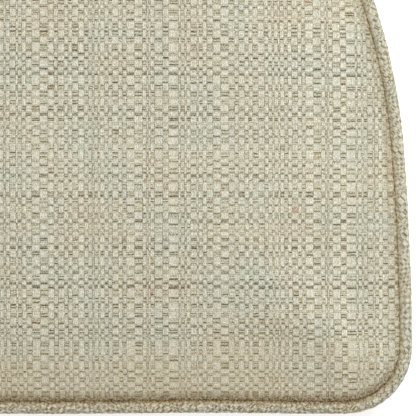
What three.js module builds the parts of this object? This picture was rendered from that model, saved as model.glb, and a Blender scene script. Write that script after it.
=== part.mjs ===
// A seat pad for a chair: a filled pad with a knife edge, and a cloth-covered cord, the welt, all round its seam.
// Millimetres. +X is the pad's right, +Y its back and +Z up. It lies on z = 0, with the origin at its middle.

import * as THREE from "three";

// Overall sizes, measured to the outside of the welt
const PAD_WIDTH = 404;
const PAD_DEPTH = 380;
const PAD_THICKNESS = 38;

// Seam and welt
const WELT_DIAMETER = 6.4;
const WELT_SIDES = 12;
const SEAM_HEIGHT = 17.5;
const SEAM_CLEARANCE = 0.3;
const SEAM_BAND = 0.9; // half the height of the narrow band that faces the welt

// Plan outline
const FRONT_CORNER_RADIUS = 32.5;
const FRONT_CORNER_TURN = 90.3;
const SIDE_RADIUS = 1340;
const SIDE_TURN = 4.3;
const BEND_RADIUS = 282;
const TAPER_HEADING = 107;
const SHOULDER_RADIUS = 75;
const BACK_HEADING = 159;

// The front edge is drawn in a little on each side of its middle
const DRAW_IN = 0.6;
const DRAW_IN_AT = 98;
const DRAW_IN_REACH = 54;

// Crown: up to PARALLEL_INSET the rings follow the outline, and from there they close in on the middle of the pad
const CROWN_RISE = PAD_THICKNESS - SEAM_HEIGHT;
const PARALLEL_INSET = 16;
const MIDDLE = new THREE.Vector2(0, -6);

// The roll of the cloth from the seam up to the crown: distance in from the seam, and height as a share of the crown
const ROLL = [
  { inset: 0, share: SEAM_BAND / CROWN_RISE },
  { inset: 0.9, share: 0.11 },
  { inset: 2.6, share: 0.178 },
  { inset: 5.2, share: 0.262 },
  { inset: 9.5, share: 0.371 },
  { inset: 16, share: 0.489 },
  { inset: 26, share: 0.618 },
  { inset: 43, share: 0.763 },
  { inset: 68, share: 0.882 },
  { inset: 102, share: 0.957 },
  { inset: 142, share: 0.991 },
];

const COVER_COLOUR = 0xc2bda6;
const WELT_COLOUR = 0xc4bba0;

const radians = THREE.MathUtils.degToRad;

// The right half of the outline, walked from the middle of the front to the middle of the back.
// Each stretch turns left by its number of degrees, on its radius, or runs straight for its length.
function halfOutline() {
  const frontLength = PAD_WIDTH / 2 - FRONT_CORNER_RADIUS;
  const stretches = [
    { name: "front", length: frontLength, steps: 12 },
    { name: "front corner", radius: FRONT_CORNER_RADIUS, turn: FRONT_CORNER_TURN, steps: 10 },
    { name: "side", radius: SIDE_RADIUS, turn: SIDE_TURN, steps: 5 },
    { name: "bend", radius: BEND_RADIUS, turn: TAPER_HEADING - FRONT_CORNER_TURN - SIDE_TURN, steps: 4 },
    { name: "taper", length: 0, steps: 5 },
    { name: "shoulder", radius: SHOULDER_RADIUS, turn: BACK_HEADING - TAPER_HEADING, steps: 7 },
  ];

  // The taper is as long as brings the back edge, one arc across, to the depth of the pad
  const { x, y } = walk(stretches).at(-1);
  const backTurn = 180 - BACK_HEADING;
  const backBow = Math.tan(radians(backTurn) / 2);
  const taperX = Math.cos(radians(TAPER_HEADING));
  const taperY = Math.sin(radians(TAPER_HEADING));
  const taper = stretches.find((stretch) => stretch.name === "taper");
  taper.length = (PAD_DEPTH - y - x * backBow) / (taperY + taperX * backBow);
  const backRadius = (x + taper.length * taperX) / Math.sin(radians(backTurn));
  return walk([...stretches, { name: "back", radius: backRadius, turn: backTurn, steps: 7 }]);
}

// Points along a chain of stretches, each with the heading of the outline there
function walk(stretches) {
  const points = [{ x: 0, y: 0, heading: 0 }];
  for (const { length, radius, turn = 0, steps } of stretches) {
    const { x, y, heading } = points.at(-1);
    for (let step = 1; step <= steps; step++) {
      const part = step / steps;
      const now = heading + radians(turn) * part;
      const dx = radius ? radius * (Math.sin(now) - Math.sin(heading)) : length * part * Math.cos(heading);
      const dy = radius ? radius * (Math.cos(heading) - Math.cos(now)) : length * part * Math.sin(heading);
      points.push({ x: x + dx, y: y + dy, heading: now });
    }
  }
  return points;
}

// How far the front edge is drawn in at a place across it
function drawIn(x) {
  const away = (Math.abs(x) - DRAW_IN_AT) / DRAW_IN_REACH;
  return Math.abs(away) < 1 ? (DRAW_IN * (1 + Math.cos(Math.PI * away))) / 2 : 0;
}

// The whole outline of the pad, each point with the direction that leads inwards from it
function wholeOutline() {
  const right = halfOutline().map(({ x, y, heading }) => ({
    place: new THREE.Vector2(x, y - PAD_DEPTH / 2 + (heading === 0 ? drawIn(x) : 0)),
    inwards: new THREE.Vector2(-Math.sin(heading), Math.cos(heading)),
  }));
  const left = right
    .slice(1, -1)
    .reverse()
    .map(({ place, inwards }) => ({
      place: new THREE.Vector2(-place.x, place.y),
      inwards: new THREE.Vector2(-inwards.x, inwards.y),
    }));
  return [...right, ...left];
}

// The outline moved inwards by a distance, at a height
function insetRing(outline, inset, height) {
  return outline.map(({ place, inwards }) => {
    const moved = place.clone().addScaledVector(inwards, inset);
    return new THREE.Vector3(moved.x, moved.y, height);
  });
}

// A ring of the crown. Deep rings are smaller and rounder, as the filling has no corners
function crownRing(outline, inset, height) {
  const seamInset = WELT_DIAMETER + SEAM_CLEARANCE;
  const ring = insetRing(outline, seamInset + Math.min(inset, PARALLEL_INSET), height);
  const reach = PAD_WIDTH / 2 - seamInset - PARALLEL_INSET;
  const closing = Math.max(0, inset - PARALLEL_INSET) / reach;
  const away = ring.map((point) => Math.hypot(point.x - MIDDLE.x, point.y - MIDDLE.y));
  const roundRadius = away.reduce((sum, distance) => sum + distance, 0) / away.length;
  return ring.map((point, i) => {
    const radius = THREE.MathUtils.lerp(away[i], roundRadius, closing) * (1 - closing);
    const scale = radius / away[i];
    return new THREE.Vector3(
      MIDDLE.x + (point.x - MIDDLE.x) * scale,
      MIDDLE.y + (point.y - MIDDLE.y) * scale,
      height,
    );
  });
}

// Joins rings of the same number of points into a skin. Its ends are closed by a fan to a point, or the last ring
// joins the first
function skin(rings, tips) {
  const around = rings[0].length;
  const points = rings.flat();
  const faces = [];
  const bands = tips ? rings.length - 1 : rings.length;
  for (let band = 0; band < bands; band++) {
    const low = band * around;
    const high = ((band + 1) % rings.length) * around;
    for (let i = 0; i < around; i++) {
      const next = (i + 1) % around;
      faces.push(low + i, low + next, high + next, low + i, high + next, high + i);
    }
  }
  if (tips) {
    const lastRing = (rings.length - 1) * around;
    const firstTip = points.push(tips.first) - 1;
    const lastTip = points.push(tips.last) - 1;
    for (let i = 0; i < around; i++) {
      const next = (i + 1) % around;
      faces.push(firstTip, next, i);
      faces.push(lastTip, lastRing + i, lastRing + next);
    }
  }
  const geometry = new THREE.BufferGeometry().setFromPoints(points);
  geometry.setIndex(faces);
  geometry.computeVertexNormals();
  return geometry;
}

// The filled pad: the top panel crowns up from the seam, and the underside is the same crown pressed flat below
function padGeometry(outline) {
  const underside = ROLL.filter(({ share }) => share * CROWN_RISE < SEAM_HEIGHT).reverse();
  const flatInset = flatUndersideInset();
  const rings = [
    crownRing(outline, flatInset, 0),
    ...underside.map(({ inset, share }) => crownRing(outline, inset, SEAM_HEIGHT - share * CROWN_RISE)),
    ...ROLL.map(({ inset, share }) => crownRing(outline, inset, SEAM_HEIGHT + share * CROWN_RISE)),
  ];
  const tips = {
    first: new THREE.Vector3(MIDDLE.x, MIDDLE.y, 0),
    last: new THREE.Vector3(MIDDLE.x, MIDDLE.y, PAD_THICKNESS),
  };
  return skin(rings, tips);
}

// Where the underside reaches the floor, between the two rows of the roll that lie above and below it
function flatUndersideInset() {
  const below = ROLL.findIndex(({ share }) => share * CROWN_RISE >= SEAM_HEIGHT);
  const [last, first] = [ROLL[below - 1], ROLL[below]];
  const part = (SEAM_HEIGHT / CROWN_RISE - last.share) / (first.share - last.share);
  return THREE.MathUtils.lerp(last.inset, first.inset, part);
}

// The welt: a ring of round section, whose outside is the outline of the whole pad
function weltGeometry(outline) {
  const radius = WELT_DIAMETER / 2;
  const rings = Array.from({ length: WELT_SIDES }, (_, side) => {
    const angle = (side / WELT_SIDES) * Math.PI * 2;
    return insetRing(outline, radius - radius * Math.cos(angle), SEAM_HEIGHT + radius * Math.sin(angle));
  });
  return skin(rings);
}

function clothMesh(name, geometry, colour) {
  const material = new THREE.MeshStandardMaterial({ color: colour, roughness: 0.95, metalness: 0 });
  const mesh = new THREE.Mesh(geometry, material);
  mesh.name = name;
  return mesh;
}

const outline = wholeOutline();
const chairPad = new THREE.Group();
chairPad.name = "chair_pad";
chairPad.add(clothMesh("pad", padGeometry(outline), COVER_COLOUR));
chairPad.add(clothMesh("welt", weltGeometry(outline), WELT_COLOUR));

export default chairPad;
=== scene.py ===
# %% [markdown]
# A chair pad in natural tweed
#
# The real pad is two panels of coarse tweed, sewn right sides together with a cloth-covered cord, the
# welt, caught in the seam, then turned out and filled. Seen from straight above it is nearly all weave,
# so most of the work goes into the cloth: where its threads lie, how they roll over to the seam, and how
# no two of them are quite alike.
#
# The fixed frame comes first. It holds the plain solids of the pad and its welt at their real size, and
# every piece below takes its place and size from them.

# %% The fixed frame
import math

import bmesh
import bpy
import numpy as np
from mathutils import Matrix, Vector


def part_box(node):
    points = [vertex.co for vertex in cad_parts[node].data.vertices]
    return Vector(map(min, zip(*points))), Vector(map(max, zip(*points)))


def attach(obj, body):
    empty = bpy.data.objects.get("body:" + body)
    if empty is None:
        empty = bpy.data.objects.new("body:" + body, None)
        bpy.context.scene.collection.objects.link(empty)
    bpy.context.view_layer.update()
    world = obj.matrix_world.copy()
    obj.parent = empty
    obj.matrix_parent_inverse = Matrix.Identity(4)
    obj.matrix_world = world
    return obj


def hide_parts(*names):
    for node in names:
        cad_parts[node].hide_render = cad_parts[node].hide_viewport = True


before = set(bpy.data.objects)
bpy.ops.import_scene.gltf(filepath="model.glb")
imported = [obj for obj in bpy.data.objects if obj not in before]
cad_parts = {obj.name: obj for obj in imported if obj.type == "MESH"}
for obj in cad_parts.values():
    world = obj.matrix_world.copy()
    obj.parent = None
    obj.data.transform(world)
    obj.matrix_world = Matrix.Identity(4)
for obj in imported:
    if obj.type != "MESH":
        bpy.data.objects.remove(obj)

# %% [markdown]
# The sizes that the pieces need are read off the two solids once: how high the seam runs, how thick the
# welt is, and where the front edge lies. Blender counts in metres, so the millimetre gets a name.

MM = 0.001
SAME_PLACE = 0.001 * MM  # points nearer to each other than this count as one
TINY = 1e-12  # keeps a division from being by zero
FULL_TURN = 2 * math.pi

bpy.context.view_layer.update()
_, pad_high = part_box("pad")
welt_low, welt_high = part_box("welt")
SEAM_HEIGHT = (welt_low.z + welt_high.z) / 2
WELT_RADIUS = (welt_high.z - welt_low.z) / 2
FRONT = welt_low.y
print(f"the seam is {SEAM_HEIGHT / MM:.1f} mm up and the top of the pad {pad_high.z / MM:.1f} mm")
print(f"the welt is {2 * WELT_RADIUS / MM:.1f} mm thick")

# %% [markdown]
# The camera looks straight down on the front right quarter of the pad. A long lens far away keeps the
# crown of the pad and its seam, which lie at different heights, at nearly the same scale, as a product
# photograph does.

# %% Camera
PHOTO_PIXELS = 416
PIXEL = 0.49 * MM  # what one pixel spans at the height of the seam
FRONT_EDGE_PIXEL = 413.8  # row of the photograph where the front edge of the pad lies
LENS = 300
SENSOR = 36

frame_side = PHOTO_PIXELS * PIXEL
view_centre = Vector((frame_side / 2, FRONT + FRONT_EDGE_PIXEL * PIXEL - frame_side / 2, SEAM_HEIGHT))
camera_data = bpy.data.cameras.new("camera")
camera_data.lens = LENS
camera_data.sensor_width = SENSOR
camera = bpy.data.objects.new("camera", camera_data)
camera.location = view_centre + Vector((0, 0, frame_side * LENS / SENSOR))
bpy.context.scene.collection.objects.link(camera)
bpy.context.scene.camera = camera
print(f"the picture is {frame_side / MM:.0f} mm wide, from {camera.location.z:.2f} m up")

# %% [markdown]
# Both pieces follow one line, the seam. It could be drawn again from its arcs, but the frame already
# holds it: the highest points of the narrow band at the edge of the pad. They are read off, put in order
# round the pad and evened out, because the frame's solid has facets and sewn cloth has none. Places on
# the pad are kept as complex numbers here, x + iy, which makes turning and measuring a closed line short
# work.

# %% The seam line
SEAM_POINTS = 2400
FACET_ROUNDING = 2.0 * MM
BAND_REACH = 1 * MM  # the top of the edge band lies less than this above the seam
DECIMALS = 6  # of a metre, so that the doubled points of the solid become one


def band_loop(node, height):
    """The outline of a node at the top of its edge band, anticlockwise from the middle of its front."""
    band = [vert.co for vert in node.data.vertices if 0 < vert.co.z - height < BAND_REACH]
    points = {complex(round(place.x, DECIMALS), round(place.y, DECIMALS)) for place in band}
    return np.array(sorted(points, key=lambda point: np.angle(point * 1j) % FULL_TURN))


def closed(values):
    """The values along a closed line, with the first of them once more at the end."""
    return np.append(values, values[0])


def smooth_loop(loop, count, rounding):
    """Even points on a closed line that rounds off the facets of another."""
    along = np.append(0, np.cumsum(np.abs(np.diff(closed(loop)))))
    even = np.interp(np.linspace(0, along[-1], count, endpoint=False), along, closed(loop))
    waves = np.fft.fftfreq(count, along[-1] / count)
    return np.fft.ifft(np.fft.fft(even) * np.exp(-2 * (math.pi * rounding * waves) ** 2))


seam = smooth_loop(band_loop(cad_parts["pad"], SEAM_HEIGHT), SEAM_POINTS, FACET_ROUNDING)
heading = np.roll(seam, -1) - np.roll(seam, 1)
outwards = -1j * heading / np.abs(heading)
seam_length = np.abs(np.roll(seam, -1) - seam).sum()
print(f"the seam is {seam_length / MM:.0f} mm long")

# %% [markdown]
# Each panel starts as a flat grid of squares. The squares' rings, one inside the other, become rings of
# the pad: the outermost lies on the seam, and the rings close in on the middle. The corners of the grid
# go to the corners of the pad. That keeps the mesh even all over, where a fan of triangles would crowd
# at the middle, and puts most rings near the seam, where the cloth rolls over.

# %% Rings from the seam to the middle
RINGS = 46
RING_SPREAD = 1.6  # over 1 crowds the rings at the seam
PARALLEL_INSET = 16 * MM  # rings nearer the seam than this run alongside it
MIDDLE = complex(0, -6 * MM)
REACH = pad_high.x
CORNER_HEADINGS = (45, 133, 227, 315)  # of the seam, in degrees, where the corners of the grid go


def at_seam(values, place):
    """A value kept for each point of the seam, at places along it from 0 to 1."""
    points = closed(values)
    return np.interp(np.mod(place, 1) * len(values), np.arange(len(points)), points)


def corner_places():
    """Where along the seam the corners of the grid go."""
    turned = np.unwrap(np.angle(heading))
    turned = np.degrees(turned - FULL_TURN * round(turned[0] / FULL_TURN))
    along = np.arange(SEAM_POINTS) / SEAM_POINTS
    return [np.interp(corner, turned, along) for corner in CORNER_HEADINGS]


def facing_front(place):
    """How squarely the edge of the pad faces the front, from 0 to 1, at places along the seam."""
    return np.maximum(-at_seam(outwards, place).imag, 0)


def inset_of(depth):
    """Distance in from the seam, for a depth from 0 at the seam to 1 at the middle."""
    return REACH * depth**RING_SPREAD


def ring_place(place, inset):
    """Where points of the rings lie in plan. Deep rings are rounder, as the filling has no corners."""
    parallel = at_seam(seam, place) - at_seam(outwards, place) * np.minimum(inset, PARALLEL_INSET)
    inner_rim = seam - outwards * PARALLEL_INSET
    round_radius = np.abs(inner_rim - MIDDLE).mean()
    closing = np.maximum(0, inset - PARALLEL_INSET) / (REACH - PARALLEL_INSET)
    away = np.abs(parallel - MIDDLE)
    radius = (away + (round_radius - away) * closing) * (1 - closing)
    return MIDDLE + (parallel - MIDDLE) * radius / away


corners = corner_places()
print("corners along the seam:", [round(float(place), 3) for place in corners])

# %% [markdown]
# In section the cloth leaves the seam steeply, rolls over within a finger's width, and then climbs
# gently to the crown. One curve gives that whole climb. The fuller the filling, the sooner the curve
# levels out.

# %% The crown in section
CROWN_FULLNESS = 3.2
SEAM_STEEPNESS = 0.518  # the lower it is, the steeper the cloth leaves the seam
CROWN_RISE = pad_high.z - SEAM_HEIGHT


def climb(inset):
    """Height above the seam as a share of the crown's rise, at a distance in from the seam."""
    depth = np.clip(inset / REACH, 0, 1)
    return (1 - (1 - depth) ** CROWN_FULLNESS) ** SEAM_STEEPNESS


for sample in (1, 5, 10, 20, 40, 80):
    rise_there = climb(sample * MM) * CROWN_RISE
    print(f"{sample} mm in from the seam the top panel is {rise_there / MM:.1f} mm above it")

# %% [markdown]
# A weave printed straight down on the pad would look stretched on the roll at its edge. So every point
# also gets its place in the flat cloth, in metres, as a UV map: its place in plan, pushed outwards by as
# much more cloth as the climb from the seam takes up. A second UV map serves the dark groove at the
# seam. It tells how far a point is from the seam, and how squarely the edge there faces the front.

# %% Cloth taken up by the roll
TAKE_UP_STEPS = np.linspace(0, 1, 400) ** 2 * REACH  # insets, closest together near the seam


def cloth_taken_up(inset):
    """How much longer the cloth is than its plan, from the middle of the pad out to this inset."""
    heights = climb(TAKE_UP_STEPS) * CROWN_RISE
    plan = np.diff(TAKE_UP_STEPS)
    more = np.hypot(plan, np.diff(heights)) - plan
    beyond = np.append(np.cumsum(more[::-1])[::-1], 0)
    return np.interp(inset, TAKE_UP_STEPS, beyond)


print(f"the roll takes up {cloth_taken_up(0) / MM:.1f} mm of cloth at each edge")

# %% [markdown]
# Now the two panels. The top one is the grid, moved to its rings, and the underside is the same crown
# upside down. At the edge the filling presses the cloth against the cord, so the two outermost rings
# follow the cord's round side and not the crown. The smoothing, later on, would draw them back a little,
# and more so in the bends of the seam, so they start that much further out.

# %% One panel
GRID_STEPS = 2 * RINGS
RIM_POINTS = 4 * GRID_STEPS
WELT_CLEARANCE = 0.05 * MM  # left between the pressed cloth and the cord
PRESSED_INSET = 0.6 * MM  # rings nearer the seam than this lie against the welt
SMOOTHING_PULL = 0.4 * MM  # how far the smoothing would draw the pressed ring back from the welt
UNDERSIDE_CLOTH_SHIFT = 1.0  # in metres, so that the underside shows another stretch of the cloth
START_FULLNESS = 0.95  # the pad starts a little slack, and the filling pushes it out

band_clearance = welt_high.x - 2 * WELT_RADIUS - pad_high.x


def grid_ring(u, v):
    """Depth, from 0 at the rim of the grid to 1 at its middle, and place along the seam, of grid points."""
    reach = np.maximum(np.abs(u), np.abs(v))
    x = u / np.maximum(reach, TINY)
    y = v / np.maximum(reach, TINY)
    front_right, back_right, back_left, front_left = corners
    front_start = front_left - 1  # place 0 is the middle of the front, so the front starts below it
    along_front = front_start + (front_right - front_start) * (x + 1) / 2
    along_right = front_right + (back_right - front_right) * (y + 1) / 2
    along_back = back_right + (back_left - back_right) * (1 - x) / 2
    along_left = back_left + (front_start + 1 - back_left) * (1 - y) / 2
    at_sides = np.where(x > 0, along_right, along_left)
    at_ends = np.where(y < 0, along_front, along_back)
    return 1 - reach, np.where(np.abs(x) > np.abs(y), at_sides, at_ends)


def against_welt(rise):
    """Inset of cloth that the filling presses against the cord, at a height above or below the seam."""
    cord_falls_away = WELT_RADIUS - np.sqrt(np.maximum(WELT_RADIUS**2 - rise**2, 0))
    return WELT_CLEARANCE - band_clearance - cord_falls_away - np.where(rise > 0, SMOOTHING_PULL, 0)


def chord_loss(place):
    """How far inside a bend of the seam the smoothed edge of the cover would fall."""
    chord = seam_length / RIM_POINTS
    turn = np.angle(np.roll(heading, -1) / np.roll(heading, 1)) / 2
    curvature = turn / (seam_length / SEAM_POINTS)
    return at_seam(curvature, place) * chord**2 / 8  # the height of an arc over its chord


def move_points(bm, plan, height):
    """Puts the points of a mesh at their places in plan, kept as complex numbers, and at their heights."""
    for vert, spot, z in zip(bm.verts, plan, height):
        vert.co = (spot.real, spot.imag, z)


def map_cloth(bm, **maps):
    """Gives a mesh its UV maps by name, each from the first and the second coordinate of its points."""
    bm.verts.index_update()
    for name, coordinates in maps.items():
        layer = bm.loops.layers.uv.new(name)
        pairs = np.column_stack(coordinates).tolist()
        for face in bm.faces:
            for loop in face.loops:
                loop[layer].uv = pairs[loop.vert.index]


def panel(side):
    """Half of the pad, with its cloth maps: side is 1 for the top panel and -1 for the underside."""
    bm = bmesh.new()
    bmesh.ops.create_grid(bm, x_segments=GRID_STEPS, y_segments=GRID_STEPS, size=1)
    flat = np.array([vert.co[:] for vert in bm.verts])
    depth, place = grid_ring(flat[:, 0], flat[:, 1])
    inset = inset_of(np.round(depth * RINGS) / RINGS)
    rise = climb(inset) * CROWN_RISE * START_FULLNESS
    pressed = against_welt(rise) - chord_loss(place)
    plan = ring_place(place, np.where(inset < PRESSED_INSET, pressed, inset))
    cloth = plan + at_seam(outwards, place) * cloth_taken_up(inset)
    if side < 0:
        cloth = cloth + UNDERSIDE_CLOTH_SHIFT
    move_points(bm, plan, SEAM_HEIGHT + side * rise)
    map_cloth(bm, cloth=(cloth.real, cloth.imag), seam=(inset, facing_front(place)))
    if side < 0:
        bmesh.ops.reverse_faces(bm, faces=bm.faces)
    return bm


print(f"each panel has {RIM_POINTS} points at its rim, {seam_length / RIM_POINTS / MM:.1f} mm apart")

# %% [markdown]
# The two panels meet only at the seam. Their points are merged there, so the pad is one closed shape,
# and the seam itself is marked as a crease, or else the smoothing would round the knife edge away.

# %% Both panels joined
SEAM_MERGE = 0.01 * MM


def join_panels():
    mesh = bpy.data.meshes.new("pad_cover")
    both = bmesh.new()
    both.loops.layers.uv.new("cloth")
    both.loops.layers.uv.new("seam")
    for side in (1, -1):
        half = panel(side)
        half.to_mesh(mesh)
        half.free()
        both.from_mesh(mesh)
    bmesh.ops.remove_doubles(both, verts=both.verts, dist=SEAM_MERGE)
    crease = both.edges.layers.float.new("crease_edge")
    for edge in both.edges:
        edge[crease] = all(abs(vert.co.z - SEAM_HEIGHT) < SAME_PLACE for vert in edge.verts)
    both.to_mesh(mesh)
    both.free()
    return mesh


cover = bpy.data.objects.new("pad_cover", join_panels())
bpy.context.scene.collection.objects.link(cover)
print(f"the cover has {len(cover.data.polygons)} faces before it is filled")

# %% [markdown]
# The filling is what gives a pad its soft, slightly uneven swell. Blender's cloth does that here: the
# seam is pinned, pressure pushes both panels out for twenty steps, and gravity stays off. How far a
# point may move is limited softly, so that the pad keeps its measured thickness. Last, the floor presses
# the underside flat wherever it would hang lower.

# %% Filling the pad
PRESSURE = 4
STIFFNESS = 12  # of the cloth against bending; a coarse tweed makes few, wide puckers
FILLING_STEPS = 20
MOST_SWELL = 1.5 * MM
HELD_BY_SEAM = 8 * MM  # nearer the seam than this, a point moves less
LIFT_OFF = 1.5 * MM  # how high the soft bend reaches where the underside leaves the floor


def places_of(mesh):
    places = np.empty(len(mesh.vertices) * 3)
    mesh.vertices.foreach_get("co", places)
    return places.reshape(-1, 3)


def pin_seam(piece):
    group = piece.vertex_groups.new(name="seam")
    on_seam = np.abs(places_of(piece.data)[:, 2] - SEAM_HEIGHT) < SAME_PLACE
    group.add(np.flatnonzero(on_seam).tolist(), 1, "REPLACE")
    return group


def swell(piece):
    """Lets pressure fill the piece, and gives the places of its points after that."""
    cloth = piece.modifiers.new("filling", "CLOTH")
    cloth.settings.bending_stiffness = STIFFNESS
    cloth.settings.use_pressure = True
    cloth.settings.uniform_pressure_force = PRESSURE
    cloth.settings.effector_weights.gravity = 0
    cloth.settings.vertex_group_mass = pin_seam(piece).name
    scene = bpy.context.scene
    for step in range(1, FILLING_STEPS + 1):
        scene.frame_set(step)
    swollen = places_of(piece.evaluated_get(bpy.context.evaluated_depsgraph_get()).data)
    piece.modifiers.remove(cloth)
    scene.frame_set(1)
    return swollen


def far_from_seam(piece):
    """How far in from the seam each point of the piece is, from its second UV map."""
    mesh = piece.data
    insets = np.zeros(len(mesh.vertices))
    for loop, place in zip(mesh.loops, mesh.uv_layers["seam"].data):
        insets[loop.vertex_index] = place.uv[0]
    return insets


def laid_down(height):
    """Keeps heights above the floor, with a soft bend where the cloth leaves it."""
    bend = (np.clip(height, -LIFT_OFF, LIFT_OFF) + LIFT_OFF) ** 2 / (4 * LIFT_OFF)
    return bend + np.maximum(height - LIFT_OFF, 0)


def fill_pad(piece):
    """Fills the piece, and gives how far the pressure moved its points before the limit."""
    start = places_of(piece.data)
    moved = swell(piece) - start
    far = np.maximum(np.linalg.norm(moved, axis=1, keepdims=True), TINY)
    freedom = np.minimum(far_from_seam(piece)[:, None] / HELD_BY_SEAM, 1)
    places = start + moved / far * MOST_SWELL * np.tanh(far / MOST_SWELL) * freedom
    places[:, 2] = laid_down(places[:, 2])
    piece.data.vertices.foreach_set("co", places.ravel())
    piece.data.update()
    return far


swelling = fill_pad(cover)
cover.data.shade_smooth()
smoothing = cover.modifiers.new("smoothing", "SUBSURF")
smoothing.levels = smoothing.render_levels = 1
print(f"the filling pushed the cloth out by up to {swelling.max() / MM:.1f} mm before the limit")

# %% [markdown]
# The welt is a cord in a strip of the same cloth, cut on the bias so that it can go round corners. It is
# a ring of round section, made as a long grid rolled round the line of the seam. A tube along a curve
# would do too, but it would be perfect, and real welts aren't drawn with compasses: the cord wanders a
# little, the cloth over it is lumpy on the outside, and it bulges here and there over the seam.

# %% The welt
WELT_STEPS = 2400
WELT_SIDES = 28
WELT_WANDER = 0.15 * MM
WANDER_WAVE = 40 * MM
WELT_LUMPS = 0.065  # of the cord's radius
LUMP_WAVE = 3 * MM
FLANK_ANGLE = math.radians(142)  # from the outside of the cord, over its top, to where it meets the pad
FLANK_LUMPS = 0.5 * MM
FLANK_WAVE = 1.8 * MM
FLANK_SHARPNESS = 8  # the higher, the narrower the strip of the flank that bulges
WELT_GIRTH = FULL_TURN * WELT_RADIUS
HIDDEN_GIRTH = 1.6 * MM  # of the cord's cloth, from the seam up to where the pad no longer touches it
UNEVEN_WAVES = 60
FEWEST_ROUND = 3  # whole waves that fit round the pad, at least
LIKELY_PEAK = 2 * math.sqrt(UNEVEN_WAVES)  # of the sum of that many waves

uneven = np.random.default_rng(7)


def uneven_loop(count, shortest):
    """A smooth random value round a closed line, about 1 at most. Its shortest wave is given in metres."""
    most = int(seam_length / shortest)
    waves = uneven.integers(FEWEST_ROUND, most, UNEVEN_WAVES)
    phases = uneven.uniform(0, FULL_TURN, UNEVEN_WAVES)
    turn = np.arange(count) / count * FULL_TURN
    return closed(np.cos(np.outer(turn, waves) + phases).sum(axis=1) / LIKELY_PEAK)


def welt_mesh():
    wander = uneven_loop(WELT_STEPS, WANDER_WAVE) * WELT_WANDER
    lumps = uneven_loop(WELT_STEPS, LUMP_WAVE) * WELT_LUMPS
    bulges = np.maximum(uneven_loop(WELT_STEPS, FLANK_WAVE), 0) * FLANK_LUMPS
    bm = bmesh.new()
    bmesh.ops.create_grid(bm, x_segments=WELT_STEPS, y_segments=WELT_SIDES, size=1)
    flat = np.array([vert.co[:] for vert in bm.verts])
    step = np.round((flat[:, 0] + 1) / 2 * WELT_STEPS).astype(int)
    round_cord = (flat[:, 1] + 1) / 2
    place = step / WELT_STEPS
    out = at_seam(outwards, place)
    angle = -round_cord * FULL_TURN
    loose = (1 + np.cos(angle)) / 2
    over_seam = np.maximum(np.cos(angle - FLANK_ANGLE), 0) ** FLANK_SHARPNESS
    radius = WELT_RADIUS * (1 + lumps[step] * loose) + bulges[step] * over_seam
    line = at_seam(seam, place) + out * (band_clearance + WELT_RADIUS)
    plan = line + out * (wander[step] * loose + radius * np.cos(angle))
    move_points(bm, plan, SEAM_HEIGHT + radius * np.sin(angle))
    strip = (place * seam_length, round_cord * WELT_GIRTH)
    from_seam = np.abs(round_cord - 0.5) * WELT_GIRTH - HIDDEN_GIRTH
    map_cloth(bm, cloth=strip, seam=(from_seam, facing_front(place)))
    bmesh.ops.remove_doubles(bm, verts=bm.verts, dist=SAME_PLACE)
    bmesh.ops.recalc_face_normals(bm, faces=bm.faces)
    mesh = bpy.data.meshes.new("welt_cord")
    bm.to_mesh(mesh)
    bm.free()
    mesh.shade_smooth()
    return mesh


welt = bpy.data.objects.new("welt_cord", welt_mesh())
bpy.context.scene.collection.objects.link(welt)
print(f"the welt has {len(welt.data.polygons)} faces")

# %% [markdown]
# Now the cloth itself. It is an irregular tweed: slubbed threads of uneven thickness pass over and under
# each other in groups of one to five. A picture would repeat or blur, so the weave is worked out from
# the flat cloth's coordinates by shader nodes. Two helpers keep the node trees readable: one puts a node
# in a tree and wires its inputs, and one is a number that can be added to and multiplied. Two short ones
# make three numbers into a place and take a place or a colour apart.

# %% Node helpers
def put(tree, kind, inputs=(), **settings):
    """Adds a node, sets its properties, and joins each input to a socket or gives it a value."""
    node = tree.nodes.new(kind)
    for name, value in settings.items():
        setattr(node, name, value)
    for key, value in dict(inputs).items():
        value = getattr(value, "socket", value)
        if isinstance(value, bpy.types.NodeSocket):
            tree.links.new(value, node.inputs[key])
        else:
            node.inputs[key].default_value = value
    return node


class Number:
    """A number that nodes work out at every point. Arithmetic on it adds Math nodes to its tree."""

    def __init__(self, socket):
        self.socket = socket
        self.tree = socket.id_data

    def then(self, operation, *others):
        math_node = put(self.tree, "ShaderNodeMath", enumerate((self, *others)), operation=operation)
        return Number(math_node.outputs[0])

    def __add__(self, other):
        return self.then("ADD", other)

    def __sub__(self, other):
        return self.then("SUBTRACT", other)

    def __rsub__(self, other):
        return self.then("MULTIPLY_ADD", -1, other)

    def __mul__(self, other):
        return self.then("MULTIPLY", other)

    def __truediv__(self, other):
        return self.then("DIVIDE", other)

    def fade(self, start, stop):
        """1 below the start, 0 above the stop, and smoothly down between them."""
        inputs = enumerate((self, start, stop, 1, 0))
        faded = put(self.tree, "ShaderNodeMapRange", inputs, interpolation_type="SMOOTHSTEP")
        return Number(faded.outputs[0])


def vector(x, y, z):
    return put(x.tree, "ShaderNodeCombineXYZ", {"X": x, "Y": y, "Z": z}).outputs[0]


def parts(whole, kind):
    """The three numbers that make up a place (XYZ) or a colour (Color)."""
    split = put(whole.id_data, "ShaderNodeSeparate" + kind, {0: whole})
    return [Number(output) for output in split.outputs]


print("node helpers: put, Number, vector and parts")

# %% [markdown]
# The next helpers mix colours or numbers, and read a colour off a row of stops. The last two make a node
# group and place it in a tree. A group is an effect that is built once and put in several materials,
# each with values of its own.

# %% Mixing helpers and groups
SRGB_TOE = 0.055
SRGB_POWER = 2.4


def colour(red, green, blue):
    """A colour as the eye sees it, from 0 to 255, as the linear values that a shader takes."""
    linear = [((value / 255 + SRGB_TOE) / (1 + SRGB_TOE)) ** SRGB_POWER for value in (red, green, blue)]
    return (*linear, 1)


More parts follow.
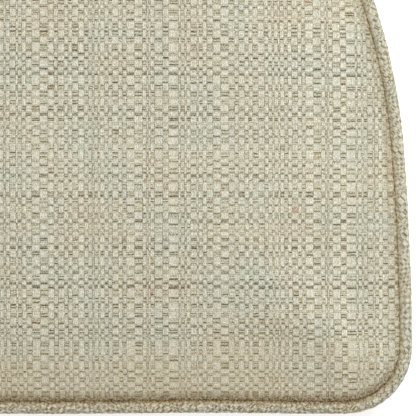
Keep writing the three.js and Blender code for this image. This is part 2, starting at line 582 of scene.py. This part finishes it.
def blend(share, first, second, kind="RGBA", clamp=True):
    """The first colour or number where the share is 0, and the second where it is 1."""
    slot, result = {"FLOAT": (2, 0), "RGBA": (6, 2)}[kind]
    inputs = {0: share, slot: first, slot + 1: second}
    mixed = put(share.tree, "ShaderNodeMix", inputs, data_type=kind, clamp_factor=clamp)
    return mixed.outputs[result]


def between(share, first, second):
    return Number(blend(share, first, second, "FLOAT"))


def ramp(share, stops, interpolation="LINEAR"):
    """The colour at a share from 0 to 1, from stops that each have a place and a colour."""
    node = put(share.tree, "ShaderNodeValToRGB", {0: share})
    node.color_ramp.interpolation = interpolation
    elements = node.color_ramp.elements
    elements.remove(elements[1])
    for number, (position, shade) in enumerate(stops):
        element = elements.new(position) if number else elements[0]
        element.position = position
        element.color = shade
    return node.outputs["Color"]


def new_group(name, inputs, outputs):
    """A shader node group with its inputs as numbers or sockets, and a function that sets its outputs."""
    group = bpy.data.node_groups.new(name, "ShaderNodeTree")
    for in_out, sockets in (("INPUT", inputs), ("OUTPUT", outputs)):
        for label, kind in sockets.items():
            group.interface.new_socket(label, in_out=in_out, socket_type="NodeSocket" + kind)
    given = put(group, "NodeGroupInput").outputs
    result = put(group, "NodeGroupOutput")
    numbers = [Number(given[label]) if kind == "Float" else given[label] for label, kind in inputs.items()]

    def give(**values):
        for label, value in values.items():
            group.links.new(getattr(value, "socket", value), result.inputs[label])

    return group, numbers, give


def use(tree, group, **inputs):
    """Puts a group in a tree and gives its outputs as numbers, or as sockets if they aren't numbers."""
    outputs = put(tree, "ShaderNodeGroup", inputs, node_tree=group).outputs
    return {output.name: Number(output) if output.type == "VALUE" else output for output in outputs}


print("what the eye calls half grey is", round(colour(128, 128, 128)[0], 2), "to a shader")

# %% [markdown]
# A tweed like this is a plain weave drawn loosely. One to five ends of the warp are lifted together, and
# one to four picks of the weft share each shed, that is they run over and under the same ends. A weaver
# writes that down as a draft, two rows of counts. This one was counted on enlargements of the photo, and
# it repeats after 90 ends and 50 picks. The warp lies on top where a run of ends and a run of picks are
# both odd or both even in their row.
#
# A draft becomes a node group with a colour ramp of constant steps, one step for each run. The ramp's
# red and green tell where the run starts and stops, and its blue tells odd from even. A ramp holds 32
# steps at most, so a long draft takes two of them.

# %% The draft
END_PITCH = 0.974 * MM
PICK_PITCH = 1.038 * MM
END_RUNS = (
    (3, 1, 2, 2, 3, 4, 4, 3, 2, 3, 2, 2, 3, 3, 2, 2, 1, 2, 1),
    (2, 2, 2, 3, 2, 2, 4, 4, 2, 1, 1, 2, 4, 3, 5, 1, 2, 1, 2),
)
PICK_RUNS = ((3, 3, 1, 3, 2, 1, 3, 2, 3, 3, 1, 3, 3, 4, 2, 2, 3, 2, 2, 4),)


def make_draft_group(name, halves):
    """Finds the run that a thread belongs to. Places and edges are counted in threads."""
    outputs = {"Start": "Float", "Stop": "Float", "Odd": "Float"}
    group, (place,), give = new_group(name, {"Place": "Float"}, outputs)
    runs = [count for half in halves for count in half]
    repeat = sum(runs)
    middle = (place.then("FLOOR") + 0.5) / repeat
    turns = middle.then("FLOOR")
    share = middle - turns
    edges = [sum(runs[:number]) / repeat for number in range(len(runs) + 1)]
    pairs = enumerate(zip(edges, edges[1:]))
    steps = [(start, (start, stop, (number + 1) % 2, 1)) for number, (start, stop) in pairs]
    first_half = len(halves[0])
    found = ramp(share, steps[:first_half], "CONSTANT")
    if len(halves) > 1:
        in_second = share.then("GREATER_THAN", edges[first_half])
        found = blend(in_second, found, ramp(share, steps[first_half:], "CONSTANT"))
    start, stop, odd = parts(found, "Color")
    give(
        Start=((start + turns) * repeat).then("ROUND"),
        Stop=((stop + turns) * repeat).then("ROUND"),
        Odd=odd.then("ROUND"),
    )
    return group


end_draft = make_draft_group("end_draft", END_RUNS)
pick_draft = make_draft_group("pick_draft", PICK_RUNS)
print("the draft repeats after", sum(map(sum, END_RUNS)), "ends and", sum(map(sum, PICK_RUNS)), "picks")

# %% [markdown]
# The threads of the real cloth don't run dead straight. Each end wanders from side to side and each pick
# up and down, both wobble where they cross, and the cells of one column or row sit a little off those of
# the next. So smooth noise first pushes the flat cloth's coordinates about, and then the drafts tell
# which run of ends and which run of picks lie at a point. Random patterns of about one size each have a
# number of their own, which is added to the seed of the cloth, so that no two are alike.

# %% Where the threads lie
END_DRIFT = 0.35 * MM
PICK_DRIFT = 0.5 * MM
DRIFT_WIDTH = 3 * MM
DRIFT_LENGTH = 25 * MM
WOBBLE_SIZE = 3 * MM
WOBBLE = 0.45 * MM
COLUMN_SHIFT = 0.15 * MM
ROW_SHIFT = 0.15 * MM


def to_edge(place, run, pitch):
    """How far it is to the nearer edge of a run, which edge that is, and whether it's the first."""
    from_start = place - run["Start"] * pitch
    to_stop = run["Stop"] * pitch - place
    first = from_start.then("LESS_THAN", to_stop)
    return from_start.then("MINIMUM", to_stop), between(first, run["Stop"], run["Start"]), first


class Weave:
    """The threads at a point of the cloth: where they wander to, their runs, and which is on top."""

    def __init__(self, cloth, seed):
        self.tree = seed.tree
        self.seed = seed
        flat_x, flat_y, _ = parts(cloth, "XYZ")
        wobble_place = (flat_x / WOBBLE_SIZE, flat_y / WOBBLE_SIZE)
        x = flat_x + self.noise(flat_x / DRIFT_WIDTH, flat_y / DRIFT_LENGTH) * END_DRIFT
        x = x + self.noise(*wobble_place, 3.5) * WOBBLE
        y = flat_y + self.noise(flat_x / DRIFT_LENGTH, flat_y / DRIFT_WIDTH, 5.5) * PICK_DRIFT
        y = y + self.noise(*wobble_place, 7.5) * WOBBLE
        column = use(self.tree, end_draft, Place=x / END_PITCH)
        self.y = y + self.draw(column["Start"], 0, 4) * COLUMN_SHIFT
        self.row = use(self.tree, pick_draft, Place=self.y / PICK_PITCH)
        self.x = x + self.draw(self.row["Start"], 0, 6) * ROW_SHIFT
        self.column = use(self.tree, end_draft, Place=self.x / END_PITCH)
        self.warp_on_top = 1 - (self.column["Odd"] - self.row["Odd"]).then("ABSOLUTE")
        self.to_side, self.side_edge, _ = to_edge(self.x, self.column, END_PITCH)
        self.to_end, self.end_edge, self.at_start = to_edge(self.y, self.row, PICK_PITCH)

    def noise(self, across, up, pattern=0, detail=0):
        """A smooth random number between about -0.3 and 0.3."""
        inputs = {"Vector": vector(across, up, self.seed + pattern), "Scale": 1, "Detail": detail}
        texture = put(self.tree, "ShaderNodeTexNoise", inputs)
        return Number(texture.outputs[0]) - 0.5

    def draw(self, first, second, pattern):
        """A random number from -0.5 to 0.5 that stays the same as long as the two it is drawn for do."""
        inputs = {"Vector": vector(first, second, self.seed + pattern)}
        texture = put(self.tree, "ShaderNodeTexWhiteNoise", inputs, noise_dimensions="3D")
        return Number(texture.outputs[0]) - 0.5


print(f"an end is {END_PITCH / MM:.2f} mm wide, and a pick {PICK_PITCH / MM:.2f} mm")

# %% [markdown]
# Where the warp lies on top, the cloth shows a pale block of upright ends, and where the weft lies on
# top, a darker cell of level picks. Inside such a cell, near either of its ends, lies a dark dash as
# long as the cell is wide, painted shade in the gap between the thin pick and the end of the next block,
# over darker fibres beneath. The dashes of one row lie in line, but some are strong and some are missing.
# Fainter dark lines of painted shade run down the sides of the blocks. Blotches make both uneven along
# their length.

# %% Dashes and side lines
DASH_INSIDE = 0.45 * MM  # from the end of a cell to its dash, at least
DASH_PLAY = 0.8 * MM
DASH_CORE = 0.05 * MM
DASH_REACH = 0.46 * MM
DASH_END = 0.5 * MM  # a dash fades out over this length at the sides of its cell
ROW_PLAY = 0.3  # how much the strength of the dashes differs from row to row
CELL_PLAY = 0.6  # and from cell to cell
SIDE_WIDTH = 0.35 * MM
SIDE_SHADE = 0.14
SIDE_BLOTCHES = 1.5
SIDE_PLAY = 0.4
SIDE_LINE_PLAY = 0.12  # how much the side lines differ from one line to the next


# painted shade: each dash is the shadow in the gap at a cell's end, over darker fibres beneath
def dash_darkness(weave, dashes, blotches):
    strength = weave.draw(weave.end_edge, weave.at_start, 61) * ROW_PLAY
    strength = strength + weave.draw(weave.column["Start"], weave.end_edge, 5) * CELL_PLAY
    strength = strength + blotches + dashes
    inside = (weave.draw(weave.end_edge, weave.at_start, 41) + 0.5) * DASH_PLAY + DASH_INSIDE
    off_dash = (weave.to_end - inside).then("ABSOLUTE")
    dash = strength.then("MAXIMUM", 0) * off_dash.fade(DASH_CORE, DASH_REACH) * (1 - weave.warp_on_top)
    return dash * (1 - weave.to_side.fade(0, DASH_END))


# painted shade along the sides of the blocks of warp
def painted_side_shade(weave, blotches):
    strength = (weave.draw(weave.side_edge, weave.row["Start"], 15) + blotches * SIDE_BLOTCHES) * SIDE_PLAY
    strength = strength + weave.draw(weave.side_edge, 0, 19) * SIDE_LINE_PLAY + SIDE_SHADE
    return weave.to_side.fade(0, SIDE_WIDTH) * strength.then("MAXIMUM", 0)


print(f"dashes lie {DASH_INSIDE / MM:.2f} to {(DASH_INSIDE + DASH_PLAY) / MM:.2f} mm inside their cells")

# %% [markdown]
# The finer relief shows as painted shade too. A shallow furrow parts each thread from the next, with
# painted shade in it, and the blocks of warp are rounded like pillows, so painted shade darkens them
# towards their edges. The threads are hairy, and a fine grain covers everything. On the warp, where the
# hairs lie along the ends, it is drawn out and fainter.

# %% Furrows, pillows and grain
FURROW_FADE = (0.2, 0.5)  # from the middle of a thread, in threads
WEFT_FURROW = 0.15
WARP_FURROW = 0.07
PILLOW_END = 0.3 * MM
PILLOW_SIDE = 0.4 * MM
PILLOW_SHADE = 0.1
GRAIN_LENGTH = 0.9 * MM
GRAIN_WIDTH = 0.55 * MM
WEFT_GRAIN = 1.15
WARP_GRAIN = 0.75


def off_middle(place, pitch):
    """How far a place is from the middle of its thread, in threads."""
    return ((place / pitch).then("FRACT") - 0.5).then("ABSOLUTE")


# painted shade in the furrow between neighbouring threads
def painted_furrow_shade(weave):
    off_pick = off_middle(weave.y, PICK_PITCH)
    off_end = off_middle(weave.x, END_PITCH)
    furrow = 1 - between(weave.warp_on_top, off_pick, off_end).fade(*FURROW_FADE)
    return furrow * between(weave.warp_on_top, WEFT_FURROW, WARP_FURROW)


# painted shade on the rounded edges of the blocks of warp
def painted_pillow_shade(weave):
    near_edge = weave.to_end.fade(0, PILLOW_END) + weave.to_side.fade(0, PILLOW_SIDE)
    return weave.warp_on_top * near_edge * PILLOW_SHADE


def hairy_grain(weave):
    length = between(weave.warp_on_top, GRAIN_WIDTH, GRAIN_LENGTH)
    grain = weave.noise(weave.x / GRAIN_WIDTH, weave.y / length)
    return grain * between(weave.warp_on_top, WEFT_GRAIN, WARP_GRAIN)


print(f"the grain is {GRAIN_WIDTH / MM:.2f} mm wide and, on the warp, {GRAIN_LENGTH / MM:.2f} mm long")

# %% [markdown]
# The cloth keeps the natural colours of its fibres. Each thread has a tint of its own between tan and
# grey-green, which drifts along it, and whole regions of the cloth lean one way or the other. Some
# threads are dirtier than others, and a few cells of the weft have brown fibres spun in.

# %% The tint of the threads
WARP_TINTS = ((223, 215, 192), (225, 220, 198), (222, 219, 202), (219, 220, 202))
WEFT_TINTS = ((208, 197, 172), (207, 202, 175), (205, 201, 178), (200, 201, 178))
OWN_TINT = 0.3
DRIFT_TINT = 0.45
REGION_TINT = 1.2
TINT_LENGTH = 12 * MM
THREAD_STEP = 0.37  # how far apart two neighbouring threads lie in the noise of the drift
REGION_SIZE = 26 * MM
PICK_NUMBERS = 500.5  # picks are numbered from here, so that no pick has the tint of an end
DIRT = 0.036
PICK_DIRT = 0.2
END_DIRT = 0.12
STRAY_SHARE = 0.05  # of the weft's cells have brown fibres
STRAY_SIZE = 1 * MM
STRAY_FADE = (-0.1, 0.1)
STRAY_STRENGTH = 0.5
STRAY_COLOUR = colour(168, 132, 92)


def thread_tint(weave, thread, along, region, tints):
    own = weave.draw(thread, 0, 9)
    drift = weave.noise(along / TINT_LENGTH, thread * THREAD_STEP, detail=1)
    share = own * OWN_TINT + drift * DRIFT_TINT + region * REGION_TINT + 0.5
    stops = [((number + 1) / (len(tints) + 1), colour(*tint)) for number, tint in enumerate(tints)]
    return ramp(share, stops)


def tint_and_dirt(weave):
    end = (weave.x / END_PITCH).then("FLOOR")
    pick = (weave.y / PICK_PITCH).then("FLOOR")
    region = weave.noise(weave.x / REGION_SIZE, weave.y / REGION_SIZE, 31, detail=1)
    weft = thread_tint(weave, pick + PICK_NUMBERS, weave.x, region, WEFT_TINTS)
    warp = thread_tint(weave, end, weave.y, region, WARP_TINTS)
    tint = blend(weave.warp_on_top, weft, warp)
    pick_dirt = weave.draw(pick, 0, 51) * PICK_DIRT
    end_dirt = weave.draw(end, 0, 53) * END_DIRT
    dirt = between(weave.warp_on_top, pick_dirt, end_dirt) + DIRT
    drawn = weave.draw(weave.column["Start"], weave.row["Start"], 21)
    fibres = weave.noise(weave.x / STRAY_SIZE, weave.y / STRAY_SIZE, 23).fade(*STRAY_FADE)
    stray = drawn.then("GREATER_THAN", 0.5 - STRAY_SHARE) * (1 - weave.warp_on_top) * fibres
    return blend(stray * STRAY_STRENGTH, tint, STRAY_COLOUR), dirt


print(f"{STRAY_SHARE:.0%} of the weft's cells may show brown fibres")

# %% [markdown]
# The tweed group adds it all up. Shares of darkness, painted shade among them, are added as the eye sees
# them, and turned into light at the end. The darkest slits show the deep colour between the threads,
# painted shade over the darker fibres beneath, and the lightest parts stand highest in the relief.
# Everything is counted in the flat cloth, so one group serves the cover and the welt, each with a seed of
# its own.

# %% The tweed
BLOTCH_SIZE = 1 * MM
# painted shade: the colour of the shaded gaps between threads, over the darker fibres beneath
SHADED_SLIT_COLOUR = colour(78, 70, 42)
EYE_TO_LIGHT = 1.6
DARKEST = 0.02
WEFT_HEIGHT = 0.6  # of the height of the warp


def make_tweed_group():
    inputs = {"Cloth": "Vector", "Seed": "Float", "Dashes": "Float"}
    group, (cloth, seed, dashes), give = new_group("tweed", inputs, {"Color": "Color", "Height": "Float"})
    weave = Weave(cloth, seed)
    blotches = weave.noise(weave.x / BLOTCH_SIZE, weave.y / BLOTCH_SIZE, 17)
    tint, dirt = tint_and_dirt(weave)
    lightness = 1 - dash_darkness(weave, dashes, blotches) - painted_side_shade(weave, blotches)
    lightness = lightness - painted_furrow_shade(weave) - painted_pillow_shade(weave) - dirt + hairy_grain(weave)
    lightness = lightness.then("MAXIMUM", DARKEST)
    shade = 1 - lightness.then("POWER", EYE_TO_LIGHT)
    height = lightness * between(weave.warp_on_top, WEFT_HEIGHT, 1)
    give(Color=blend(shade, tint, SHADED_SLIT_COLOUR, clamp=False), Height=height)
    return group


tweed_group = make_tweed_group()
print("tweed:", len(tweed_group.nodes), "nodes")

# %% [markdown]
# In the groove between pad and welt hardly any light reaches the cloth, and stitches pull it in, dot by
# dot. The groove group paints that shade: it darkens the cloth towards the seam, dot by dot, over an
# uneven width that is larger along the front, where the roll of the pad lies in its own shade. Near the
# seam the cloth is also warmer, and tanner with painted warm light bounced in the groove. A second,
# fainter line of painted shade runs alongside: on the cover just inside the seam, where the seam pulls
# the cloth in, and on the welt round its outer rim, where the cord turns away from the light. The welt
# gets brown specks, stronger along the front, where they are painted shade. The second UV map tells
# where the front is, and the cover and the welt each have values of their own.

# %% The groove
COVER_GROOVE = {
    "Side reach": 2.8 * MM,
    "Front reach": 4.8 * MM,
    "Warmth": 0.2,
    "Tan": 0.18,
    "Rim": 2.3 * MM,
    "Rim depth": 0.2,
    "Specks and front shade": 0.0,
}
WELT_GROOVE = {
    "Side reach": 0.9 * MM,
    "Front reach": 2.9 * MM,
    "Warmth": 0.0,
    "Tan": 0.36,
    "Rim": WELT_GIRTH / 2 - HIDDEN_GIRTH,
    "Rim depth": 0.3,
    "Specks and front shade": 0.18,
}
UNEVEN_SIZE = 3 * MM
GROOVE_UNEVENNESS = 3.0 * MM
# painted shade: how much darker the groove is along the front
FRONT_DEPTH = 0.3
# painted shade: the dark brown that the groove and its stitch dots are darkened towards
GROOVE_SHADE_COLOUR = colour(104, 82, 42)
STITCH_SIZE = 0.95 * MM
STITCH_FADE = (-0.02, 0.1)
STITCH_DEPTH = 0.7
TAN_REACH = 4.0 * MM
WARM_REACH = 50 * MM
SIDE_WARMTH = 0.15  # of the warmth along the front
FRONT_TAN = 0.1  # how much tanner the cloth is along the front
# painted bounce light: the warm tan of the cloth in the groove
TAN_COLOUR = colour(205, 178, 130)
# painted shade: the faint line just inside the seam on the cover and round the welt's outer rim
RIM_WIDTH = 1.4 * MM
RIM_BETWEEN = 0.5  # how much of the second line shows between the stitches
SPECK_SIZE = 1.15 * MM
SPECK_FADE = (-0.04, 0.08)
FRONT_SPECK_SHADE = 2.2  # how much stronger the brown specks are along the front, where they are painted shade
SPECK_AND_SHADE_COLOUR = colour(132, 108, 62)


def make_groove_group():
    inputs = {"Color": "Color", "Seam": "Vector", "Place": "Vector"} | dict.fromkeys(COVER_GROOVE, "Float")
    group, (color, seam_place, place, *values), give = new_group("groove", inputs, {"Color": "Color"})
    side_reach, front_reach, warmth, tan, rim, rim_depth, specks_and_front_shade = values

    def lumps(size):
        texture = put(group, "ShaderNodeTexNoise", {"Vector": place, "Scale": 1 / size})
        return Number(texture.outputs[0]) - 0.5

    away, front, _ = parts(seam_place, "XYZ")
    uneven_away = away + lumps(UNEVEN_SIZE) * GROOVE_UNEVENNESS
    # painted shade of the groove, reaching further along the front
    near = (uneven_away / ((front_reach - side_reach) * front + side_reach)).fade(0, 1)
    stitches = 1 - lumps(STITCH_SIZE).fade(*STITCH_FADE)
    depth = front * FRONT_DEPTH + stitches * STITCH_DEPTH
    warm = away.fade(0, WARM_REACH) * warmth * (front * (1 - SIDE_WARMTH) + SIDE_WARMTH)
    warmed = blend(warm, color, TAN_COLOUR)
    # painted warm light bounced in the groove: tanner near the seam, more along the front
    tanned = blend(away.fade(0, TAN_REACH) * (front * FRONT_TAN + tan), warmed, TAN_COLOUR)
    specks = 1 - lumps(SPECK_SIZE).fade(*SPECK_FADE)
    # brown specks on the welt; what they add along the front is painted shade
    specked_and_shaded = blend(specks * specks_and_front_shade * (front * FRONT_SPECK_SHADE + 1), tanned, SPECK_AND_SHADE_COLOUR)
    # painted shade: a faint line just inside the seam on the cover, and round the outer rim of the welt
    rimmed = (away - rim).then("ABSOLUTE").fade(0, RIM_WIDTH) * (stitches + RIM_BETWEEN) * rim_depth
    give(Color=blend((near * depth).then("MAXIMUM", rimmed), specked_and_shaded, GROOVE_SHADE_COLOUR))
    return group


groove_group = make_groove_group()
print("groove:", len(groove_group.nodes), "nodes")

# %% [markdown]
# The two cloth materials are the same tweed and the same groove with values of their own. The cover's
# cloth is laid so that the draft starts where it does in the photo. The welt's strip is cut on the bias
# and pulled tight round the cord, so its weave lies at 45 degrees and looks finer. The cloth is matt,
# and the height of the tweed feeds a shallow bump, on top of the shape that the meshes have.

# %% Cloth materials
FIRST_END = 5.9 * MM  # from the middle of the pad to the first end of the draft
FIRST_PICK = 24.95 * MM  # from the front edge of the pad to the first pick of the draft
BIAS = math.radians(45)
WELT_TIGHTNESS = 1.35
COVER_DASHES = 0.42
WELT_DASHES = 0.68
WELT_SEED = 500
WEAVE_DEPTH = 0.15 * MM
CLOTH_FINISH = {"Roughness": 0.9, "Specular IOR Level": 0.2}


def new_material(name, **values):
    """A material with plain values on its shader, and the inputs of that shader."""
    material = bpy.data.materials.new(name)
    material.use_nodes = True
    shader = material.node_tree.nodes["Principled BSDF"].inputs
    for label, value in values.items():
        shader[label].default_value = value
    return material, shader


def cloth_material(name, seed, dashes, groove, start=(0, 0), turn=0.0, tightness=1.0):
    material, shader = new_material(name, **CLOTH_FINISH)
    tree = material.node_tree
    cut = {
        "Vector": put(tree, "ShaderNodeUVMap", uv_map="cloth").outputs[0],
        "Location": (-start[0], -start[1], 0),
        "Rotation": (0, 0, turn),
        "Scale": (tightness, tightness, 1),
    }
    cloth = put(tree, "ShaderNodeMapping", cut).outputs[0]
    tweed = use(tree, tweed_group, Cloth=cloth, Seed=seed, Dashes=dashes)
    seam_map = put(tree, "ShaderNodeUVMap", uv_map="seam").outputs[0]
    object_place = put(tree, "ShaderNodeTexCoord").outputs["Object"]
    shaded = use(tree, groove_group, Color=tweed["Color"], Seam=seam_map, Place=object_place, **groove)
    bump = put(tree, "ShaderNodeBump", {"Height": tweed["Height"], "Distance": WEAVE_DEPTH})
    tree.links.new(shaded["Color"], shader["Base Color"])
    tree.links.new(bump.outputs[0], shader["Normal"])
    return material


cover_cut = {"start": (FIRST_END, FRONT + FIRST_PICK)}
welt_cut = {"turn": BIAS, "tightness": WELT_TIGHTNESS}
cover.data.materials.append(cloth_material("cover_tweed", 0, COVER_DASHES, COVER_GROOVE, **cover_cut))
welt.data.materials.append(cloth_material("welt_tweed", WELT_SEED, WELT_DASHES, WELT_GROOVE, **welt_cut))
print("cloth materials:", cover.data.materials[0].name, "and", welt.data.materials[0].name)

# %% [markdown]
# Plain, soft light shows a cloth best. A wide pale floor that glows a little stands in for a lit table,
# a white sky gives the soft light from all sides, and one large lamp, above and behind the right
# shoulder of the pad, gives the faint shading on its roll.

# %% Floor and light
FLOOR_SIDE = 40  # in metres
FLOOR_DROP = 0.1 * MM  # keeps the floor just under the flat underside
FLOOR_GREY = 0.9
FLOOR_ROUGHNESS = 0.9
FLOOR_GLOW = 0.45
LAMP_PLACE = (0.6, 0.8, 1.3)
LAMP_SIZE = 0.8
LAMP_POWER = 14
SKY_STRENGTH = 0.6
WHITE = (1, 1, 1, 1)


def make_floor():
    bm = bmesh.new()
    bmesh.ops.create_grid(bm, x_segments=1, y_segments=1, size=FLOOR_SIDE / 2)
    mesh = bpy.data.meshes.new("floor")
    bm.to_mesh(mesh)
    bm.free()
    grey = {"Base Color": (FLOOR_GREY, FLOOR_GREY, FLOOR_GREY, 1), "Roughness": FLOOR_ROUGHNESS}
    glow = {"Emission Color": WHITE, "Emission Strength": FLOOR_GLOW}
    material, _ = new_material("pale_floor", **grey, **glow)
    mesh.materials.append(material)
    mesh.transform(Matrix.Translation((0, 0, -FLOOR_DROP)))
    floor = bpy.data.objects.new("floor", mesh)
    bpy.context.scene.collection.objects.link(floor)
    return floor


def soft_light(name, place, size, power):
    light = bpy.data.lights.new(name, "AREA")
    light.shape = "SQUARE"
    light.size = size
    light.energy = power
    lamp = bpy.data.objects.new(name, light)
    lamp.location = place
    lamp.rotation_euler = (-Vector(place)).to_track_quat("-Z", "Y").to_euler()
    bpy.context.scene.collection.objects.link(lamp)


floor = make_floor()
soft_light("key", LAMP_PLACE, LAMP_SIZE, LAMP_POWER)
world = bpy.data.worlds.new("studio")
bpy.context.scene.world = world
world.use_nodes = True
sky = world.node_tree.nodes["Background"].inputs
sky["Color"].default_value = WHITE
sky["Strength"].default_value = SKY_STRENGTH
bpy.context.scene.view_settings.view_transform = "Standard"
print(f"the lamp is {Vector(LAMP_PLACE).length:.1f} m from the pad, and {LAMP_SIZE} m wide")

# %% [markdown]
# Last, both pieces ride on the one body of the frame, and the frame's own solids are hidden.

# %% Both pieces on the frame's body
for piece, node, slot in ((cover, "pad", "cover_fabric"), (welt, "welt", "welt_fabric")):
    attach(piece, "root")
    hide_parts(node)
